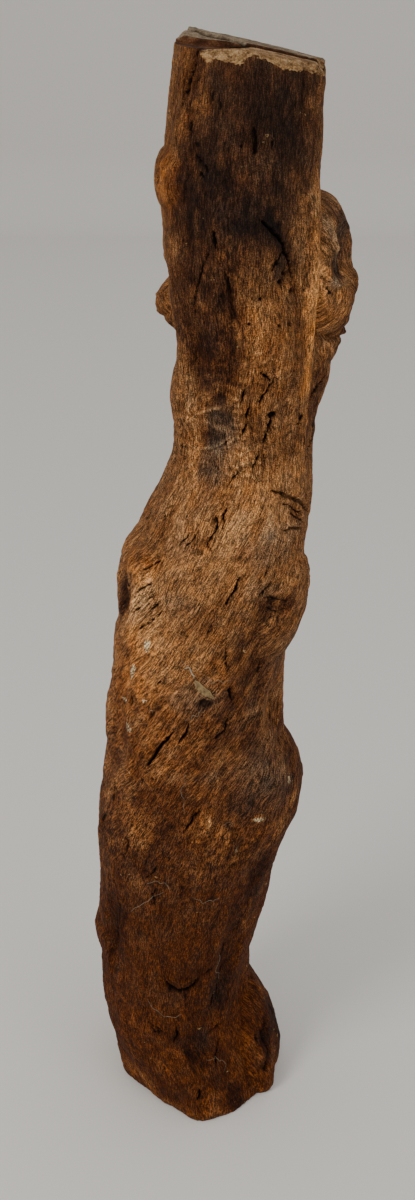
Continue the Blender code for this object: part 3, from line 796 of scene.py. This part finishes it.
def weatheredLook(tree, colours):
    read = partial(attribute, tree)
    place, grain = objectPlace(tree), read("grainAt", "Vector")
    coarse, fine = grain.noise(260, 4, 0.66, (1, 1, 0.18)), grain.noise(780, 2, 0.65, (1, 1, 0.18))
    dabs = grain.noise(120, 4, 0.72, (1, 1, 0.6))
    speckle, dust = place.noise(900, 3, 0.8), place.noise(1500, 2, 0.8)
    blotch, hues = place.noise(22, 4, 0.6), place.noise(55, 3, 0.6)
    # Relief in the level: raised places lighter, as wear and as painted light, and troughs darker, as painted
    # shade.
    level = coarse * 0.08 + dabs * 0.20 + blotch * 0.11 + read("relief") * 0.36 - 0.375
    # The first kind of patch adds the wood's tone with painted shade in hollows, troughs and grooves and on the lit
    # toe, and a painted highlight on the rib.
    # The level is made darker round checks and pits.
    level = level * read("contrast") + 0.538 + read("toneAndPaintedShading") - read("darkerRoundCuts") * 0.10
    colour = level.ramp(colours["ramp"])
    rusty = colour.under(colours["rustTint"], 1.0, "MULTIPLY")
    colour = colour.under(rusty, read("rust") * (dabs + 0.4) + hues.between(0.50, 0.66, 0.26))
    ashen = level.ramp(colours["ashRamp"])
    colour = colour.under(ashen, read("ash") * (dabs + 0.35) + hues.between(0.50, 0.36, 0.14))
    spots = (read("lichen") * place.noise(520, 4, 0.85)).between(0.34, 0.44, 0.85)
    colour = colour.under(colours["lichen"], spots)
    grains = (fine * 1.10 + speckle * 1.40 + coarse * 0.20 - 1.35) * read("graininess")
    colour = colour.under(90.0 ** grains.math("MINIMUM", 0.27), 1.0, "MULTIPLY")
    colour = colour.under(colours["dust"], dust.between(0.54, 0.68, 0.5), "MULTIPLY")
    colour = colour.under(colours["pore"], read("graininess") * dust.between(0.50, 0.34, 0.52), "MULTIPLY")
    chips, streaks = place.noise(75, 4, 0.6, (0.7, 1, 1)), place.noise(420, 4, 0.75, (0.3, 1, 1))
    raw = ((chips - 0.5) * 2.6 + read("rawEnd") + streaks * 0.8).between(0.94, 1.04)
    colour = colour.under((streaks * 2.0 + chips * 1.2 - 1.05).ramp(colours["rawRamp"]), raw)
    pores = grain.noise(400, 2, 0.5, (1, 1, 0.28)).between(0.65, 0.73, 0.7)
    # Painted shade: checks and pits go near-black, with a ragged edge and dark specks from the noise; the pores
    # take the same colour.
    ragged = (speckle - 0.5) * 1.1 + read("hollow") + (dabs - 0.5) * 0.8
    colour = colour.under(colours["hollow"], pores.math("MAXIMUM", ragged.between(0.42, 0.92, 0.97)))
    low, high = colours["roughness"]
    height = fine + coarse * 0.6 + speckle * 0.4 + dabs * 0.4 + spots * 0.4 - pores * 0.5
    return colour, speckle * (high - low) + low, (height, 1.0, 0.0031)


sawnColours = {
    "grey": readRows(".15 .055 .035 .02, .45 .2 .142 .088, .8 .43 .345 .245"),
    "raw": readRows(".2 .045 .018 .007, .48 .27 .15 .064, .85 .64 .44 .24"),
    "ledge": readRows(".15 .018 .007 .003, .5 .075 .027 .011, .85 .21 .095 .042"),
    # near-black of the painted shade in the gaps of the splits
    "split": (0.008, 0.005, 0.003),
}


def sawnLook(tree, colours):
    read, place = partial(attribute, tree), objectPlace(tree)
    speckle = place.noise(700, 3, 0.8)
    level = place.noise(300, 3, 0.7, (0.14, 1, 0.8)) * 0.9 + speckle + place.noise(90, 3, 0.65) - 0.98
    ledge = level.ramp(colours["ledge"])
    colour = level.ramp(colours["grey"]).under(ledge, read("frontBlock"))
    raw = (speckle * 0.6 + read("rawEnd")).between(0.50, 0.80)
    colour = colour.under(level.ramp(colours["raw"]), raw).under(ledge, read("ledgeFace"))
    # The gaps of the splits are painted near-black as shade.
    return colour.under(colours["split"], read("split")), 0.85, (level, 1.0, 0.0010)


weatheredWood = makeMaterial("weatheredWood", weatheredLook, woodColours, 0.1)
sawnWood = makeMaterial("sawnWood", sawnLook, sawnColours, 0.1)
print("materials made")

trunk = makeTrunk(trunkMesh)
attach(trunk, "root")
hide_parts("trunk")
print("trunk made:", len(trunk.data.polygons), "faces")


# Leaf and threads that lie on the trunk

leafShape = {
    "from": (-93.5, 689.0),  # angle and height of its foot and of its tip
    "to": (-80.0, 667.0),
    "halfWidth": 4.2,  # mm
    "lift": 1.8,
    "curl": 2.6,
    "thickness": 0.0004,  # m
    "stem": readRows("-101 703 -98 701.5 -95.5 697 -93.6 690"),
    "stemRadius": 0.9,
    "ramp": readRows(".3 .11 .07 .028, .6 .33 .225 .105"),
    "vein": (0.34, 0.27, 0.16),
}

threadPaths = {
    "radius": 0.22,  # mm
    "lift": 0.9,
    "ramp": readRows(".3 .15 .105 .06, .7 .42 .34 .24"),
    # the angles and heights of each thread's path
    "paths": readRows("""
-132 332 -127 343 -121 356 -114 370 -107 382, -87 379 -81 371 -74 368 -68 373,
-60 268 -57 255 -59 240 -55 226 -52 212, -119 390 -113 398 -106 395 -103 385, -104 712 -100 704 -92 699 -84 690,
-90 690 -80 686 -71 687, -87 652 -91 644 -97 637, -96 566 -98 541 -96 512, -112 196 -104 178 -93 170 -84 176,
-70 96 -62 90 -56 78 -58 66
    """),
}


# Points on the carved surface, lifted off it, in metres.
def onSurface(angles, heights, lift):
    radius = carvedRadius(angles, heights)[0] + lift
    across, back = placeOn(angles, heights, radius)
    return np.stack([across, back, heights], -1) * mm


# A round tube along a smooth path: a circle carried along, thinner to its ends, closed by a point at each.
def tube(path, radius, lift, rings=40, sides=6):
    knots = np.linspace(0.0, 1.0, len(path) // 2)
    at = np.linspace(0.0, 1.0, rings)
    angles = smoothThrough(knots, np.array(path[::2]), at)
    heights = smoothThrough(knots, np.array(path[1::2]), at)
    curl = math.tau * (at + path[1] / 40.0)
    angles = angles + 0.9 * np.sin(2.3 * curl) * np.sin(math.pi * at)
    heights = heights + 2.0 * np.sin(3.1 * curl) * np.sin(math.pi * at)
    middle = onSurface(angles, heights, lift)
    along = np.gradient(middle, axis=0)
    along /= np.linalg.norm(along, axis=1)[:, None]
    side = np.cross(along, (0.0, 0.0, 1.0)) + np.array([1e-6, 0.0, 0.0])
    side /= np.linalg.norm(side, axis=1)[:, None]
    other = np.cross(along, side)
    turn = np.linspace(0.0, math.tau, sides, endpoint=False)
    thick = radius * mm * (0.35 + 0.65 * np.sin(math.pi * at) ** 0.5)
    circle = np.cos(turn)[None, :, None] * side[:, None, :] + np.sin(turn)[None, :, None] * other[:, None, :]
    points = (middle[:, None, :] + thick[:, None, None] * circle).reshape(-1, 3)
    quads, low, high = closedGridFaces(rings, sides, rings * sides, rings * sides + 1)
    return np.vstack([points, middle[:1], middle[-1:]]), quads, np.vstack([low, high])


# Several tubes in one mesh.
def tubes(name, paths, radius, lift):
    points, quads, triangles, count = [], [], [], 0
    for path in paths:
        some, fours, threes = tube(path, radius, lift)
        points.append(some)
        quads.append(fours + count)
        triangles.append(threes + count)
        count += len(some)
    return meshFrom(name, np.vstack(points), np.vstack(quads), np.vstack(triangles))


# A pointed sheet: its width is a sine of the way along, its edges curl up and its middle vein is a crease.
def makeLeaf(leaf):
    rows, columns = 40, 21
    v, u = np.meshgrid(np.linspace(0.02, 0.98, rows), np.linspace(-1.0, 1.0, columns), indexing="ij")
    (angle0, height0), (angle1, height1) = leaf["from"], leaf["to"]
    arc = float(solidRadius(np.array(angle0), np.array(height0))) * math.pi / 180.0
    run = np.array([(angle1 - angle0) * arc, height1 - height0])
    run /= np.hypot(*run)
    half = leaf["halfWidth"] * np.sin(math.pi * v**0.8) ** 0.7 * (1.0 + 0.12 * np.sin(9.0 * v + 2.0 * u))
    angles = angle0 + (angle1 - angle0) * v - run[1] * half * u / arc
    heights = height0 + (height1 - height0) * v + run[0] * half * u
    smooth = solidRadius(angles, heights)
    lift = leaf["lift"] + 1.5 * np.sin(math.pi * v) + leaf["curl"] * (u**2 + 0.5 * u) * np.sin(math.pi * v)
    lift = lift - 0.9 * np.exp(-((u / 0.16) ** 2)) + 0.7 * np.sin(15.0 * v + 2.0 * u) * np.abs(u)
    across, back = placeOn(angles, heights, smooth + lift)
    points = np.stack([across, back, heights], -1).reshape(-1, 3) * mm
    r, c = np.meshgrid(np.arange(rows - 1), np.arange(columns - 1), indexing="ij")
    corner = r * columns + c
    quads = np.stack([corner, corner + columns, corner + columns + 1, corner + 1], -1).reshape(-1, 4)
    piece = meshFrom("dry_leaf", points, quads)
    setAttribute(piece.data, "vein", np.exp(-((u.ravel() / 0.12) ** 2)))
    thick = piece.modifiers.new("thick", "SOLIDIFY")
    thick.thickness = leaf["thickness"]
    thick.offset = 0.0
    return piece


def dryLeafLook(tree, colours):
    mottle = objectPlace(tree).noise(320, 3, 0.6)
    colour = mottle.ramp(colours["ramp"]).under(colours["vein"], attribute(tree, "vein") * 0.6)
    return colour, 0.8, (mottle, 0.6, 0.0006)


def threadLook(tree, colours):
    return objectPlace(tree).noise(160, 2, 0.5).ramp(colours["ramp"]), 0.9, None


dryLeaf = makeLeaf(leafShape)
leafStem = tubes("leaf_stem", leafShape["stem"], leafShape["stemRadius"], leafShape["lift"])
threads = tubes("rootlet_threads", threadPaths["paths"], threadPaths["radius"], threadPaths["lift"])
dryLeafMaterial = makeMaterial("dryLeaf", dryLeafLook, leafShape, 0.2)
threadMaterial = makeMaterial("paleThread", threadLook, threadPaths, 0.2)
for piece, material in ((dryLeaf, dryLeafMaterial), (leafStem, threadMaterial), (threads, threadMaterial)):
    piece.data.materials.append(material)
    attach(piece, "root")
print("leaf and threads laid on")


# Floor and light

studio = {
    "floorColour": (0.80, 0.78, 0.75),
    "floorReach": 9.0,  # m to each side and to the front
    "floorBack": 7.0,  # m behind the trunk, where the floor rises into the backdrop
    "bendRadius": 0.5,
    "backdropTop": 3.4,
    "keyEnergy": 39.0,
    "fillEnergy": 8.0,
    "worldStrength": 0.67,
}


def floorLook(tree, colour):
    return (*colour, 1.0), 0.9, None


# A floor that rises at the back in a quarter circle: a profile along the depth, drawn out across.
def makeFloor(setup):
    reach, back, radius = setup["floorReach"], setup["floorBack"], setup["bendRadius"]
    bend = np.linspace(0.0, math.pi / 2, 13)
    depth = np.concatenate([[-reach, 0.0], back + radius * np.sin(bend), [back + radius]])
    height = np.concatenate([[0.0, 0.0], radius - radius * np.cos(bend), [setup["backdropTop"]]])
    points = [(x, y, z) for y, z in zip(depth, height) for x in (-reach, reach)]
    quads = [(2 * k, 2 * k + 1, 2 * k + 3, 2 * k + 2) for k in range(len(depth) - 1)]
    floor = meshFrom("floor", points, quads)
    floor.data.materials.append(makeMaterial("paleFloor", floorLook, setup["floorColour"], 0.5))


def addSoftLight(name, place, aim, size, energy, colour):
    lamp = bpy.data.lights.new(name, "AREA")
    lamp.shape, lamp.size, lamp.energy, lamp.color = "DISK", size, energy, colour
    light = bpy.data.objects.new(name, lamp)
    away = np.array(place, float) - np.array(aim, float)
    flat = math.hypot(away[0], away[1])
    light.location = place
    light.rotation_euler = (math.atan2(flat, away[2]), 0.0, math.atan2(away[0], -away[1]))
    bpy.context.scene.collection.objects.link(light)


makeFloor(studio)
addSoftLight("keyLight", (-1.9, -1.7, 2.6), (0.0, 0.0, 0.8), 1.2, studio["keyEnergy"], (1.0, 0.96, 0.90))
addSoftLight("fillLight", (1.8, -1.6, 1.6), (0.0, 0.0, 0.6), 1.6, studio["fillEnergy"], (0.95, 0.97, 1.0))
world = bpy.data.worlds.new("softRoom")
world.use_nodes = True
background = world.node_tree.nodes["Background"]
background.inputs[0].default_value = (1.0, 0.98, 0.95, 1.0)
background.inputs[1].default_value = studio["worldStrength"]
bpy.context.scene.world = world
print("floor and light set")
